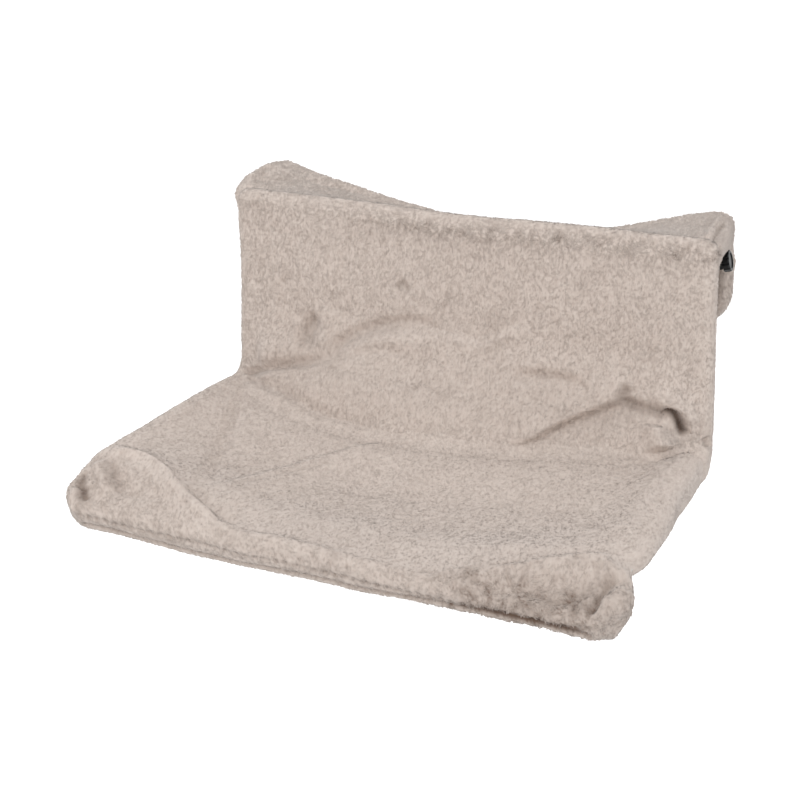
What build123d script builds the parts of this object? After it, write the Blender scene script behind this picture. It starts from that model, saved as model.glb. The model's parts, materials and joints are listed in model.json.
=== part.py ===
from build123d import *
import math
import os

os.makedirs("parts", exist_ok=True)

# A plush cat hammock that hooks over a radiator.
# X runs along the radiator, Y from the room to the wall, Z up.
# Z = 0 is the top of the radiator and Y = 0 its front face, both at the middle of the hammock.

# Driving dimensions, in millimetres
bar_spacing = 426.0  # left to right frame tube, axis to axis
back_height = 181.0  # seat corner up to the top crossbar, axis to axis
seat_depth = 285.0  # back frame to front bar, axis to axis
seat_rise = 21.5  # climb of the side bars before the front dips
front_dip = 44.0  # length over which the front dips
front_drop = 16.0  # height lost in the dip
arm_height = 30.0  # top crossbar's axis above the radiator
arm_reach = 78.0  # back frame to the hook's legs, axis to axis
hook_drop = 79.0  # hook's arms down to its bottom rod, axis to axis
hook_travel = 28.0  # how far the hook slides out

# Steel tubes and rod
frame_tube = 10.0
frame_wall = 1.0
low_bend = 25.0
top_bend = 15.0
dip_bend = 60.0
front_bend = 22.0
stub_reach = 75.0  # back frame's lower ends, past the seat corner
butt_gap = 0.2
cross_bar_rise = 40.0  # above the seat corner
rod = 8.0
rod_start_gap = 3.0  # rod end behind the crossbar's tube
hook_bend = 18.0
hook_low_bend = 26.0

# Spigots in the frame's two joints, and their screws
spigot_wall = 1.5
spigot_length = 60.0
slip_fit = 0.05
joint_screw = 3.0
joint_screw_head = 5.5
joint_screw_head_height = 2.0
joint_screw_step = 15.0  # each side of the joint
joint_screw_tip = 1.0  # past the spigot's wall
spot_face_depth = 0.5
screw_hole_clearance = 0.1

# Guide tubes, in which the hook's arms slide
guide_wall = 1.92
slide_fit = 0.08
guide_reach = 54.0  # behind the back frame's axis
guide_slot = 1.5
guide_slot_length = 20.0

# Clamp blocks, which lock the arms and stand on the radiator
clamp_reach = 42.0  # behind the back frame's axis
clamp_length = 14.0
clamp_wall = 3.5
clamp_fit = 0.05
clamp_slit = 1.5
clamp_tilt = 15.0  # degrees, so that the knob clears the radiator
ear = 2.4
ear_margin = 5.0
foot_toe = 5.0
screw_reach = 18.4  # arm's axis to the clamp screw's axis
clamp_screw = 5.0
ear_hole_clearance = 0.2
insert_wall = 1.0
insert_length = 6.0
insert_relief = 1.0
washer_outer = 10.0
washer_thickness = 0.6
running_gap = 0.1
knob_diameter = 18.0
knob_thickness = 6.0
knob_rim = 1.2
knob_dish = 0.8
knob_flute = 1.1
knob_flute_inset = 0.25
knob_flutes = 12
knob_socket = 3.5

# Cover
cloth = 3.0
cloth_gap = 0.4
seam_gap = 0.3
frame_lap = 12.0  # how far the rolls on the frame reach inwards
hook_lap = 10.0
side_depth = 14.0  # the seat sides' flat wall
bend_tail = 3.0  # the upright rolls run on past the low bends
seat_sag = 27.0
seat_roundness = 200.0
underside_sag = 18.0
junction_reach = 100.0  # back frame to the seam between back and seat panels
lean_start = 84.0  # below the crossbar, where the back starts to lean into the room
back_bulge = 55.0
belly_share = 0.1  # of the back's bulge, where the lean starts
back_turn = 60.0
valley_sag = 9.5  # where the back meets the seat
valley_round = 36.0
top_sag = 26.0
top_panel_dip = 5.5  # below the top edge roll's crown
skirt_length = 50.0
skirt_outer_drop = 12.0
skirt_inner_drop = 7.0
notch_half_length = 11.0
notch_top = 3.2  # below the arm's axis
lip_reach = 52.0  # the lining's lower edge, along the side bars from the seat corner
hem_start = 30.0
hem_end = 56.0
hem_drop_reach = 94.0
underside_round = 40.0
strip_thickness = 1.2
strip_width = 18.0
strip_margin = 12.0  # short of the panel's sides
strip_edge = 3.0  # short of the lip's edge
cut_overrun = 30.0

# Sizes and places that follow
tube_radius = frame_tube / 2
frame_bore = tube_radius - frame_wall
roll_inner = tube_radius + cloth_gap
roll_outer = roll_inner + cloth
frame_y = -roll_outer
half_width = bar_spacing / 2
low_z = arm_height - back_height
rise_reach = seat_depth - front_dip
rise_angle = math.atan2(seat_rise, rise_reach)
roll_joint = low_bend * math.tan((math.pi / 2 + rise_angle) / 2) + bend_tail
front_y = frame_y - seat_depth
dip_y = frame_y - rise_reach
dip_z = low_z + seat_rise
front_z = dip_z - front_drop
diagonal_share = 1 - math.cos(math.radians(45))  # of a bend's radius, at its middle
arm_x = half_width - top_bend * diagonal_share
arm_z = arm_height - top_bend * diagonal_share
leg_y = frame_y + arm_reach
rod_radius = rod / 2
hook_roll_inner = rod_radius + cloth_gap
hook_roll_outer = hook_roll_inner + cloth
hook_low_z = arm_z - hook_drop
guide_radius = rod_radius + slide_fit + guide_wall
clamp_outer = guide_radius + clamp_fit + clamp_wall
clamp_y = frame_y + clamp_reach
skirt_inner = clamp_outer + cloth_gap
skirt_outer = skirt_inner + cloth
panel_half = half_width - frame_lap - seam_gap
top_panel_half = arm_x - skirt_outer - seam_gap
flap_half = arm_x - hook_lap - seam_gap
junction_y = frame_y - junction_reach
slide_direction = Vector(0, 1, 0)
tilt = math.radians(clamp_tilt)
screw_axis = Vector(math.cos(tilt), 0, math.sin(tilt))
ear_axis = Vector(math.sin(tilt), 0, -math.cos(tilt))


def save(node, shape):
    export_step(shape, f"parts/{node}.step")


def save_pair(name, right_side):
    save(f"{name}_right", right_side)
    save(f"{name}_left", mirror(right_side, about=Plane.YZ))


def save_group(node, solids):
    save(node, Compound(children=solids))


def swept(section, path, x_dir):
    start = Plane(origin=path @ 0, x_dir=x_dir, z_dir=path % 0)
    return sweep(start * section, path=path)


def side_line(along, above):
    """A (y, z) place beside the rising side bar: along it from the seat corner, and above its axis."""
    y = frame_y - along * math.cos(rise_angle) + above * math.sin(rise_angle)
    z = low_z + along * math.sin(rise_angle) + above * math.cos(rise_angle)
    return y, z


def seat_corner(behind, above):
    """Where the line that far behind the back frame meets the line that far above the side bar."""
    along = (above * math.sin(rise_angle) - behind) / math.cos(rise_angle)
    return side_line(along, above)


def bar_z(y):
    """Height of the side bar's axis, its dip included."""
    reach = frame_y - y
    if reach < rise_reach:
        return low_z + seat_rise * reach / rise_reach
    return dip_z - front_drop * (reach - rise_reach) / front_dip


def across(x, y, z):
    """An upright plane across the hammock, seen from the room, with its origin there."""
    return Plane(origin=(x, y, z), x_dir=(1, 0, 0), z_dir=(0, -1, 0))


def lengthwise(x):
    """An upright plane from the room to the wall, at x, with y and z as its coordinates."""
    return Plane(origin=(x, 0, 0), x_dir=(0, 1, 0), z_dir=(1, 0, 0))


def ring(outer, inner):
    return Circle(outer) - Circle(inner)


def rod_between(start, end, radius):
    way = Vector(*end) - Vector(*start)
    return extrude(Plane(origin=start, z_dir=way) * Circle(radius), way.length)


# Steel frame


def back_frame_path():
    stub_y, stub_z = side_line(stub_reach, 0)
    right = [(half_width, frame_y, arm_height), (half_width, frame_y, low_z), (half_width, stub_y, stub_z)]
    left = [(-x, y, z) for x, y, z in reversed(right)]
    return FilletPolyline(*left, *right, radius=[low_bend, top_bend, top_bend, low_bend])


def seat_frame_path():
    start_y, start_z = side_line(stub_reach + butt_gap, 0)
    right = [(half_width, front_y, front_z), (half_width, dip_y, dip_z), (half_width, start_y, start_z)]
    left = [(-x, y, z) for x, y, z in reversed(right)]
    return FilletPolyline(*left, *right, radius=[dip_bend, front_bend, front_bend, dip_bend])


def joint_screw_places():
    joint = stub_reach + butt_gap / 2
    return [side_line(joint + side * joint_screw_step, 0) for side in (-1, 1)]


def drilled_for_joint(tube):
    seat = tube_radius - spot_face_depth
    for y, z in joint_screw_places():
        for side in (-1, 1):
            middle, centre, spot = (0, y, z), (side * half_width, y, z), (side * (half_width - seat), y, z)
            tube -= rod_between(middle, centre, joint_screw / 2 + screw_hole_clearance)
            tube -= rod_between(middle, spot, joint_screw_head / 2 + screw_hole_clearance)
    return tube


def frame_tube_along(path):
    return drilled_for_joint(swept(ring(tube_radius, frame_bore), path, (1, 0, 0)))


def joint_spigot():
    joint = stub_reach + butt_gap / 2
    ends = [(half_width, *side_line(joint + side * spigot_length / 2, 0)) for side in (-1, 1)]
    outer = frame_bore - slip_fit
    spigot = rod_between(*ends, outer) - rod_between(*ends, outer - spigot_wall)
    for y, z in joint_screw_places():
        spigot -= rod_between((0, y, z), (half_width, y, z), joint_screw / 2 + slip_fit)
    return spigot


def joint_screws():
    seat = half_width - tube_radius + spot_face_depth
    tip = half_width - frame_bore + slip_fit + spigot_wall + joint_screw_tip
    screws = []
    for y, z in joint_screw_places():
        for side in (-1, 1):
            head = rod_between(
                (side * (seat - joint_screw_head_height), y, z), (side * seat, y, z), joint_screw_head / 2
            )
            screws.append(head + rod_between((side * seat, y, z), (side * tip, y, z), joint_screw / 2))
    return screws


def lower_cross_bar():
    z = low_z + cross_bar_rise
    ends = [(side * half_width, frame_y, z) for side in (-1, 1)]
    bar = rod_between(*ends, tube_radius) - rod_between(*ends, frame_bore)
    for x, y, z in ends:
        bar -= rod_between((x, y, z - frame_tube), (x, y, z + frame_tube), tube_radius)
    return bar


def guide_tube():
    start = (arm_x, frame_y, arm_z)
    end = (arm_x, frame_y + guide_reach, arm_z)
    guide = rod_between(start, end, guide_radius) - rod_between(start, end, rod_radius + slide_fit)
    slot = Plane(origin=end, x_dir=screw_axis, z_dir=slide_direction) * Rectangle(
        guide_slot, 2 * guide_radius, align=(Align.CENTER, Align.MAX)
    )
    guide -= extrude(slot, -guide_slot_length)
    return guide - swept(Circle(tube_radius), back_frame_path(), (1, 0, 0))


# Clamps and knobs


def screw_place(along):
    """A place on the right clamp screw's axis, measured outwards from the slit's middle."""
    centre = Vector(arm_x, clamp_y, arm_z) + ear_axis * screw_reach
    return centre + screw_axis * along


def clamp():
    plane = across(arm_x, clamp_y - clamp_length / 2, arm_z)
    slit = clamp_slit / 2
    reach = screw_reach + ear_margin
    n_x, n_z = screw_axis.X, screw_axis.Z
    s_x, s_z = ear_axis.X, ear_axis.Z
    jaw = Polyline(
        (-slit * n_x, -slit * n_z),
        (-clamp_outer, 0),
        (-clamp_outer, -arm_z),
        (foot_toe, -arm_z),
        (reach * s_x - slit * n_x, reach * s_z - slit * n_z),
        close=True,
    )
    near, far = slit, slit + ear
    outer_ear = Polyline(
        (near * n_x, near * n_z),
        (reach * s_x + near * n_x, reach * s_z + near * n_z),
        (reach * s_x + far * n_x, reach * s_z + far * n_z),
        (far * n_x, far * n_z),
        close=True,
    )
    outline = Circle(clamp_outer) + make_face(jaw) + make_face(outer_ear) - Circle(guide_radius + clamp_fit)
    slot = Polyline(
        (-slit * n_x, -slit * n_z),
        (slit * n_x, slit * n_z),
        (2 * reach * s_x + slit * n_x, 2 * reach * s_z + slit * n_z),
        (2 * reach * s_x - slit * n_x, 2 * reach * s_z - slit * n_z),
        close=True,
    )
    block = extrude(plane * (outline - make_face(slot)), -clamp_length)
    pocket_end = -slit - insert_length - insert_relief
    block -= rod_between(screw_place(0), screw_place(slit + 2 * ear), clamp_screw / 2 + ear_hole_clearance)
    block -= rod_between(screw_place(0), screw_place(pocket_end), clamp_screw / 2 + insert_wall + slip_fit)
    return block


def clamp_insert():
    ends = screw_place(-clamp_slit / 2), screw_place(-clamp_slit / 2 - insert_length)
    return rod_between(*ends, clamp_screw / 2 + insert_wall) - rod_between(*ends, clamp_screw / 2 + slip_fit)


def washer_places():
    face = clamp_slit / 2 + ear
    return screw_place(face), screw_place(face + washer_thickness)


def clamp_washer():
    ends = washer_places()
    return rod_between(*ends, washer_outer / 2) - rod_between(*ends, clamp_screw / 2 + ear_hole_clearance)


def knob_base():
    return clamp_slit / 2 + ear + washer_thickness + running_gap


def lock_knob():
    radius = knob_diameter / 2
    body = extrude(Circle(radius), knob_thickness)
    body = fillet(body.edges().filter_by(GeomType.CIRCLE).group_by(Axis.Z)[-1], knob_rim)
    dish = Pos(0, 0, knob_thickness) * Cylinder(radius - 2 * knob_rim, 2 * knob_dish)
    body -= dish
    flute = Pos(radius + knob_flute_inset, 0, knob_thickness / 2) * Cylinder(knob_flute, 2 * knob_thickness)
    body -= [Rot(0, 0, turn * 360 / knob_flutes) * flute for turn in range(knob_flutes)]
    body -= Cylinder(clamp_screw / 2, 2 * knob_socket)
    return Plane(origin=screw_place(knob_base()), x_dir=(0, 1, 0), z_dir=screw_axis) * body


def knob_screw():
    start = knob_base() + knob_socket
    end = -clamp_slit / 2 - insert_length
    return rod_between(screw_place(start), screw_place(end), clamp_screw / 2)


# Hook rod


def hook_path(start_y):
    right = [(arm_x, leg_y, hook_low_z), (arm_x, leg_y, arm_z), (arm_x, start_y, arm_z)]
    left = [(-x, y, z) for x, y, z in reversed(right)]
    return FilletPolyline(*left, *right, radius=[hook_bend, hook_low_bend, hook_low_bend, hook_bend])


def hook_rod():
    start_y = frame_y + tube_radius + rod_start_gap
    return swept(Circle(rod_radius), hook_path(start_y), (1, 0, 0))


# Cloth rolls over the tubes. Each section's mouth faces -x, where its two layers run on.


def roll_section(inner, outer, lap, depth):
    edges = []
    for radius in (inner, outer):
        if lap:
            edges += [Line((-lap, radius), (0, radius)), Line((0, -depth - radius), (-lap, -depth - radius))]
        if depth:
            edges.append(Line((radius, 0), (radius, -depth)))
        edges += [CenterArc((0, 0), radius, 0, 90), CenterArc((0, -depth), radius, -90, 90)]
    edges += [
        Line((-lap, inner), (-lap, outer)),
        Line((-lap, -depth - inner), (-lap, -depth - outer)),
    ]
    return make_face(edges)


def upright_roll():
    path = FilletPolyline(
        (half_width, frame_y, arm_height - top_bend),
        (half_width, frame_y, low_z),
        (half_width, *side_line(roll_joint, 0)),
        radius=low_bend,
    )
    roll = swept(roll_section(roll_inner, roll_outer, frame_lap, 0), path, (1, 0, 0))
    corner = Plane.XZ.offset(-frame_y) * CenterArc(
        (half_width - top_bend, arm_height - top_bend), top_bend, 0, 90
    )
    roll += swept(roll_section(roll_inner, roll_outer, 0, 0), corner, (1, 0, 0))
    guide_way = (arm_x, frame_y, arm_z), (arm_x, frame_y + 2 * roll_outer, arm_z)
    return roll - rod_between(*guide_way, guide_radius + cloth_gap)


def side_roll():
    dip_angle = math.atan2(front_drop, front_dip)
    way = Vector(0, -math.cos(dip_angle), -math.sin(dip_angle))
    front = Vector(half_width, front_y, front_z)
    bend_start = front - way * front_bend
    side = FilletPolyline(
        (half_width, *side_line(roll_joint + seam_gap, 0)),
        (half_width, dip_y, dip_z),
        bend_start,
        radius=dip_bend,
    )
    roll = swept(roll_section(roll_inner, roll_outer, frame_lap, side_depth), side, (1, 0, 0))
    middle = bend_start - Vector(front_bend, 0, 0)
    halfway = middle + (Vector(1, 0, 0) + way) * (front_bend * (1 - diagonal_share))
    corner = ThreePointArc(bend_start, halfway, middle + way * front_bend)
    return roll + swept(roll_section(roll_inner, roll_outer, 0, 0), corner, (1, 0, 0))


def front_roll():
    dip_angle = math.atan2(front_drop, front_dip)
    way = Vector(0, -math.cos(dip_angle), -math.sin(dip_angle))
    half = half_width - front_bend - seam_gap
    line = Line((-half, front_y, front_z), (half, front_y, front_z))
    return swept(roll_section(roll_inner, roll_outer, frame_lap, 0), line, way)


def top_roll():
    half = half_width - top_bend - seam_gap
    line = Line((-half, frame_y, arm_height), (half, frame_y, arm_height))
    return swept(roll_section(roll_inner, roll_outer, frame_lap, 0), line, (0, 0, 1))


def flap_side_roll():
    path = FilletPolyline(
        (arm_x, skirt_length + seam_gap, arm_z),
        (arm_x, leg_y, arm_z),
        (arm_x, leg_y, hook_low_z + hook_low_bend),
        radius=hook_bend,
    )
    roll = swept(roll_section(hook_roll_inner, hook_roll_outer, hook_lap, 0), path, (1, 0, 0))
    corner = Plane.XZ.offset(-leg_y) * CenterArc(
        (arm_x - hook_low_bend, hook_low_z + hook_low_bend), hook_low_bend, 0, -90
    )
    return roll + swept(roll_section(hook_roll_inner, hook_roll_outer, 0, 0), corner, (1, 0, 0))


def flap_bottom_roll():
    half = arm_x - hook_low_bend - seam_gap
    line = Line((-half, leg_y, hook_low_z), (half, leg_y, hook_low_z))
    return swept(roll_section(hook_roll_inner, hook_roll_outer, hook_lap, 0), line, (0, 0, -1))


# Cloth panels


def sag_section(y, edge_z, sag, half):
    """A sagging strip of cloth across the hammock, edge_z high at its sides."""
    edges = []
    for drop in (0, cloth):
        ends = (-half, edge_z - drop), (half, edge_z - drop)
        edges.append(ThreePointArc(ends[0], (0, edge_z - drop - sag), ends[1]))
    edges += [Line((side * half, edge_z), (side * half, edge_z - cloth)) for side in (-1, 1)]
    return across(0, y, 0) * make_face(edges)


# The seat's middle stays level out to the first share of its half width, and its flanks climb from the second.
level_share, flank_share = 0.25, 0.55
seat_place_shares = (0, 0.24, 0.56, 0.8, 0.93, 1.0)
seat_middle_shares = (0.77, 1.0, 1.0, 0.75, 0.42, 0.27)
seat_flank_shares = (0.58, 0.75, 0.73, 0.4, 0.13, 0.06)


def seat_drop(width_share, middle_share, edge_share):
    """The sag at that share of the half width, from the sags of the section's two corners."""
    if width_share < level_share:
        return middle_share * seat_sag
    if width_share < flank_share:
        way_share = (width_share - level_share) / (flank_share - level_share)
        return (middle_share + way_share * (edge_share - middle_share)) * seat_sag
    return edge_share * seat_sag * (1 - width_share) / (1 - flank_share)


def seat_section(y, middle_share, edge_share):
    """A cut across the seat: level in the middle, then two slopes up to the side bars."""
    edge_z = bar_z(y) + roll_outer
    shares = ((-1, 0), (-flank_share, edge_share), (-level_share, middle_share))
    shares += ((level_share, middle_share), (flank_share, edge_share), (1, 0))
    chains = []
    for drop in (0, cloth):
        chains.append([(place * panel_half, edge_z - drop - share * seat_sag) for place, share in shares])
    edges = [FilletPolyline(*chain, radius=seat_roundness) for chain in chains]
    edges += [Line(chains[0][end], chains[1][end]) for end in (0, -1)]
    return across(0, y, 0) * make_face(Curve() + edges)


def seat_panel():
    start = junction_y - seam_gap
    end = front_y + frame_lap + cloth
    sections = []
    for place_share, *drop_shares in zip(seat_place_shares, seat_middle_shares, seat_flank_shares):
        sections.append(seat_section(start + place_share * (end - start), *drop_shares))
    return loft(sections)


def top_panel():
    place_shares = (0, 0.27, 0.62, 1.0)
    sag_shares = (0.12, 0.5, 0.82, 1.0)
    start = seam_gap
    end = leg_y - hook_roll_outer - seam_gap
    edge_z = arm_height + roll_outer - top_panel_dip
    sections = []
    for place_share, sag_share in zip(place_shares, sag_shares):
        y = start + place_share * (end - start)
        sections.append(sag_section(y, edge_z, sag_share * top_sag, top_panel_half))
    return loft(sections)


def cloth_section(x, upper, lower, upper_radii, lower_radii):
    """A cut through a panel at x: two chains of (y, z) corners with rounded turns, closed at the ends."""
    edges = [
        FilletPolyline(*upper, radius=upper_radii),
        FilletPolyline(*lower, radius=lower_radii),
        Line(upper[0], lower[0]),
        Line(upper[-1], lower[-1]),
    ]
    return lengthwise(x) * make_face(Curve() + edges)


def back_panel():
    place_shares = (-1.0, -0.87, -0.6, -0.15, 0.37, 0.65, 0.9, 1.0)
    bulge_shares = (0.05, 0.5, 0.89, 1.0, 0.71, 0.46, 0.42, 0.05)
    top_z = arm_height - frame_lap - seam_gap
    lean_z = arm_height - lean_start
    seat_z = bar_z(junction_y) + roll_outer
    tight = low_bend - roll_outer
    sections = []
    for place_share, bulge_share in zip(place_shares, bulge_shares):
        bulge = bulge_share * back_bulge
        face_y = frame_y - roll_outer
        valley_y = face_y - bulge
        valley_z = bar_z(valley_y) + roll_outer - valley_sag * (1 - place_share**2)
        drop = seat_drop(abs(place_share), seat_middle_shares[0], seat_flank_shares[0])
        front = [
            (face_y, top_z),
            (face_y - belly_share * bulge, lean_z),
            (valley_y, valley_z),
            (junction_y, seat_z - drop),
        ]
        rear = [(y + cloth, z) for y, z in front[:2]]
        rear += [(valley_y + cloth, valley_z - cloth), (junction_y, seat_z - cloth - drop)]
        valley = tight + bulge_share * (valley_round - tight)
        radii = [back_turn, valley]
        rear_radii = [radius + cloth for radius in radii]
        sections.append(cloth_section(place_share * panel_half, front, rear, radii, rear_radii))
    return loft(sections)


def back_lining():
    top_z = arm_height - frame_lap - seam_gap
    outer, inner = (
        [(frame_y + depth, top_z), seat_corner(depth, -depth), side_line(lip_reach, -depth)]
        for depth in (roll_outer, roll_inner)
    )
    section = cloth_section(-panel_half, outer, inner, low_bend + roll_outer, low_bend + roll_inner)
    return extrude(section, 2 * panel_half, dir=(1, 0, 0))


def closure_strip(depth):
    """One half of the hook-and-loop closure, that far below the side bars' axis."""
    start = lip_reach - strip_edge
    outline = [
        side_line(start, -depth),
        side_line(start - strip_width, -depth),
        side_line(start - strip_width, -depth - strip_thickness),
        side_line(start, -depth - strip_thickness),
    ]
    half = panel_half - strip_margin
    return extrude(lengthwise(-half) * make_face(Polyline(*outline, close=True)), 2 * half)


def seat_underside():
    hem_depth = roll_outer + 2 * strip_thickness
    place_shares = (-1.0, -0.6, 0, 0.6, 1.0)
    sections = []
    end_y = front_y + frame_lap + cloth
    wall_depth = roll_outer + side_depth
    for place_share in place_shares:
        sag = underside_sag * (1 - place_share**2)
        upper = [
            side_line(hem_start, -hem_depth),
            side_line(hem_end, -hem_depth),
            side_line(hem_drop_reach, -wall_depth - sag),
            (dip_y, dip_z - wall_depth - sag),
            (end_y, bar_z(end_y) - roll_inner),
        ]
        lower = [(y, z - cloth) for y, z in upper]
        sections.append(
            cloth_section(place_share * panel_half, upper, lower, underside_round, underside_round)
        )
    return loft(sections)


def arm_skirt():
    edges = []
    for radius in (skirt_inner, skirt_outer):
        edges += [
            CenterArc((0, 0), radius, 0, 180),
            Line((radius, 0), (radius, -skirt_outer_drop)),
            Line((-radius, 0), (-radius, -skirt_inner_drop)),
        ]
    edges += [
        Line((skirt_inner, -skirt_outer_drop), (skirt_outer, -skirt_outer_drop)),
        Line((-skirt_inner, -skirt_inner_drop), (-skirt_outer, -skirt_inner_drop)),
    ]
    plane = across(arm_x, seam_gap, arm_z)
    skirt = extrude(plane * make_face(edges), -(skirt_length - seam_gap))
    notch = Pos(arm_x + skirt_outer, clamp_y, arm_z - notch_top) * Box(
        skirt_outer, 2 * notch_half_length, cut_overrun, align=(Align.CENTER, Align.CENTER, Align.MAX)
    )
    return skirt - notch


def hem_arc(drop):
    """The sagging line between the hook's arms, that far below the side rolls' crowns."""
    edge_z = arm_z + hook_roll_outer - drop
    return ThreePointArc((-flap_half, edge_z), (0, edge_z - top_sag), (flap_half, edge_z))


def flap_top_hem():
    edges = [hem_arc(0), hem_arc(cloth)]
    edges += [Line(edges[0] @ end, edges[1] @ end) for end in (0, 1)]
    plane = across(0, leg_y - hook_roll_outer, 0)
    return extrude(plane * make_face(edges), -2 * hook_roll_outer)


def flap_layer(face_y):
    """One flat layer of the rear flap, its top cut along the sagging hem."""
    low = hook_low_z + hook_lap + seam_gap
    round_low = hook_low_bend - hook_lap - seam_gap
    top = hem_arc(cloth + seam_gap)
    corners = [top @ 0, (-flap_half, low), (flap_half, low), top @ 1]
    sides = FilletPolyline(*corners, radius=round_low)
    plane = across(0, face_y, 0)
    return extrude(plane * make_face(Curve() + [top, sides]), -cloth)


# Steel frame
save("back_frame_tube", frame_tube_along(back_frame_path()))
save("seat_frame_tube", frame_tube_along(seat_frame_path()))
save_pair("joint_spigot", joint_spigot())
save_group("joint_screws", joint_screws())
save("lower_cross_bar", lower_cross_bar())
save_pair("guide_tube", guide_tube())

# Clamps, knobs and the hook
save_pair("clamp_foot", clamp())
save_group("clamp_inserts", [clamp_insert(), mirror(clamp_insert(), about=Plane.YZ)])
save_group("clamp_washers", [clamp_washer(), mirror(clamp_washer(), about=Plane.YZ)])
save_pair("lock_knob", lock_knob())
save_pair("knob_screw", knob_screw())
save("hook_rod", hook_rod())

# Cover on the frame
save("seat_panel", seat_panel())
save("seat_underside", seat_underside())
save_pair("seat_side_roll", side_roll())
save("seat_front_roll", front_roll())
save("back_panel", back_panel())
save("back_lining", back_lining())
save_pair("upright_roll", upright_roll())
save("top_edge_roll", top_roll())
save("top_panel", top_panel())
save_pair("arm_skirt", arm_skirt())
save("closure_loop_strip", closure_strip(roll_outer))
save("closure_hook_strip", closure_strip(roll_outer + strip_thickness))

# Cover on the hook
save_pair("flap_side_roll", flap_side_roll())
save("flap_bottom_roll", flap_bottom_roll())
save("flap_top_hem", flap_top_hem())
save("flap_inner_layer", flap_layer(leg_y - hook_roll_outer))
save("flap_outer_layer", flap_layer(leg_y + hook_roll_inner))
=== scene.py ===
import json
import math
import bpy
import numpy as np
from mathutils import Matrix, Vector


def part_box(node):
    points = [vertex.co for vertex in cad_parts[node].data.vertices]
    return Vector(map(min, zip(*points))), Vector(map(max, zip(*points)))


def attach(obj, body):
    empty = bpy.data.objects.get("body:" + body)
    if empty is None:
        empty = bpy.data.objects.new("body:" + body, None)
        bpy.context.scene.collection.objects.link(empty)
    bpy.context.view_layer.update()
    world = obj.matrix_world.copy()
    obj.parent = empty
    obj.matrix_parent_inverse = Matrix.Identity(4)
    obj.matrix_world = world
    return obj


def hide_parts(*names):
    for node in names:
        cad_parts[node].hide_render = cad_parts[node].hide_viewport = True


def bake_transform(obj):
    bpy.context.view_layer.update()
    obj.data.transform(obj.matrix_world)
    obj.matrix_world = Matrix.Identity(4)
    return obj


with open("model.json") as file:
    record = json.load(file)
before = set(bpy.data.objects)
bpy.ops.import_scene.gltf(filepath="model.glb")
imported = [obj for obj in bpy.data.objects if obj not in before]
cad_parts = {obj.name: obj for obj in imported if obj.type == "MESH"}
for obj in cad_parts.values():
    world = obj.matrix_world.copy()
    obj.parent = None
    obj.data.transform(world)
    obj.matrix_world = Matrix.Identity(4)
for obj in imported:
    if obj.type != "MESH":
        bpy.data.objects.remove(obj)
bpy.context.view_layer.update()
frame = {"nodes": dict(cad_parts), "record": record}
print("frame loaded:", len(frame["nodes"]), "nodes")

# Lengths are millimetres until a mesh is made. The tubes' axes come from the frame's boxes.
mm = 0.001
tubeRadius, rodRadius = 5.0, 4.0
backTube, seatTube, hookRod = (
    [np.round(np.array(corner) / mm, 1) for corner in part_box(node)]
    for node in ("back_frame_tube", "seat_frame_tube", "hook_rod")
)
halfWidth = backTube[1][0] - tubeRadius
frameY = backTube[1][1] - tubeRadius
topZ = backTube[1][2] - tubeRadius
backDrop, seatReach, dipReach, dipRise, frontFall = 181.0, 285.0, 241.0, 21.5, 16.0
lowZ = topZ - backDrop
armX, armZ = hookRod[1][0] - rodRadius, hookRod[1][2] - rodRadius
legY, hookLowZ = hookRod[1][1] - rodRadius, hookRod[0][2] + rodRadius
view = {
    "at": (373.8, -996.1, topZ + 322.1), "turn": 23.7, "pitch": 24.88, "roll": -0.7,
    "lens": 57.285, "sensor": 36.0, "picture": 800.0,
}


# Camera

def viewAxes():
    # Right, up and forward of a camera turned about Z, pitched down, then rolled.
    turn, pitch, roll = (math.radians(view[k]) for k in ("turn", "pitch", "roll"))
    level = math.cos(pitch)
    forward = np.array([-math.sin(turn) * level, math.cos(turn) * level, -math.sin(pitch)])
    right = np.array([math.cos(turn), math.sin(turn), 0.0])
    up = np.cross(right, forward)
    return right * math.cos(roll) + up * math.sin(roll), up * math.cos(roll) - right * math.sin(roll), forward


def makeCamera():
    right, up, forward = viewAxes()
    data = bpy.data.cameras.new("camera")
    data.lens, data.sensor_width = view["lens"], view["sensor"]
    data.clip_start, data.clip_end = 0.05, 50.0
    camera = bpy.data.objects.new("camera", data)
    bpy.context.scene.collection.objects.link(camera)
    camera.matrix_world = Matrix(
        [[right[i], up[i], -forward[i], view["at"][i] * mm] for i in range(3)] + [[0, 0, 0, 1]]
    )
    bpy.context.scene.camera = camera


def pictured(points):
    # Where points fall in the 800 by 800 picture: a pinhole projection.
    right, up, forward = viewAxes()
    away = points - np.array(view["at"])
    scale = view["lens"] / view["sensor"] * view["picture"] / (away @ forward)
    middle = view["picture"] / 2
    return middle + (away @ right) * scale, middle - (away @ up) * scale


makeCamera()
print("camera set")


# Maths that the cloth pieces share

def rise(x, start, end):
    # Smooth climb from 0 at start to 1 at end: 3s2 - 2s3 of the share s of the way.
    s = np.clip((x - start) / (end - start), 0, 1)
    return s * s * (3 - 2 * s)


def bell(x, middle, wide):
    # A rounded hump: exp of minus the square of the distance over the width.
    return np.exp(-((x - middle) / wide) ** 2)


def hashed(i, j, seed):
    # A number from 0 to 1 for each lattice corner, by mixing its two whole numbers.
    h = (i * 374761393 + j * 668265263 + seed * 1442695041) & 0xFFFFFFFF
    h = ((h ^ (h >> 13)) * 1274126177) & 0xFFFFFFFF
    return ((h ^ (h >> 16)) & 0xFFFF) / 65535.0


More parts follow.
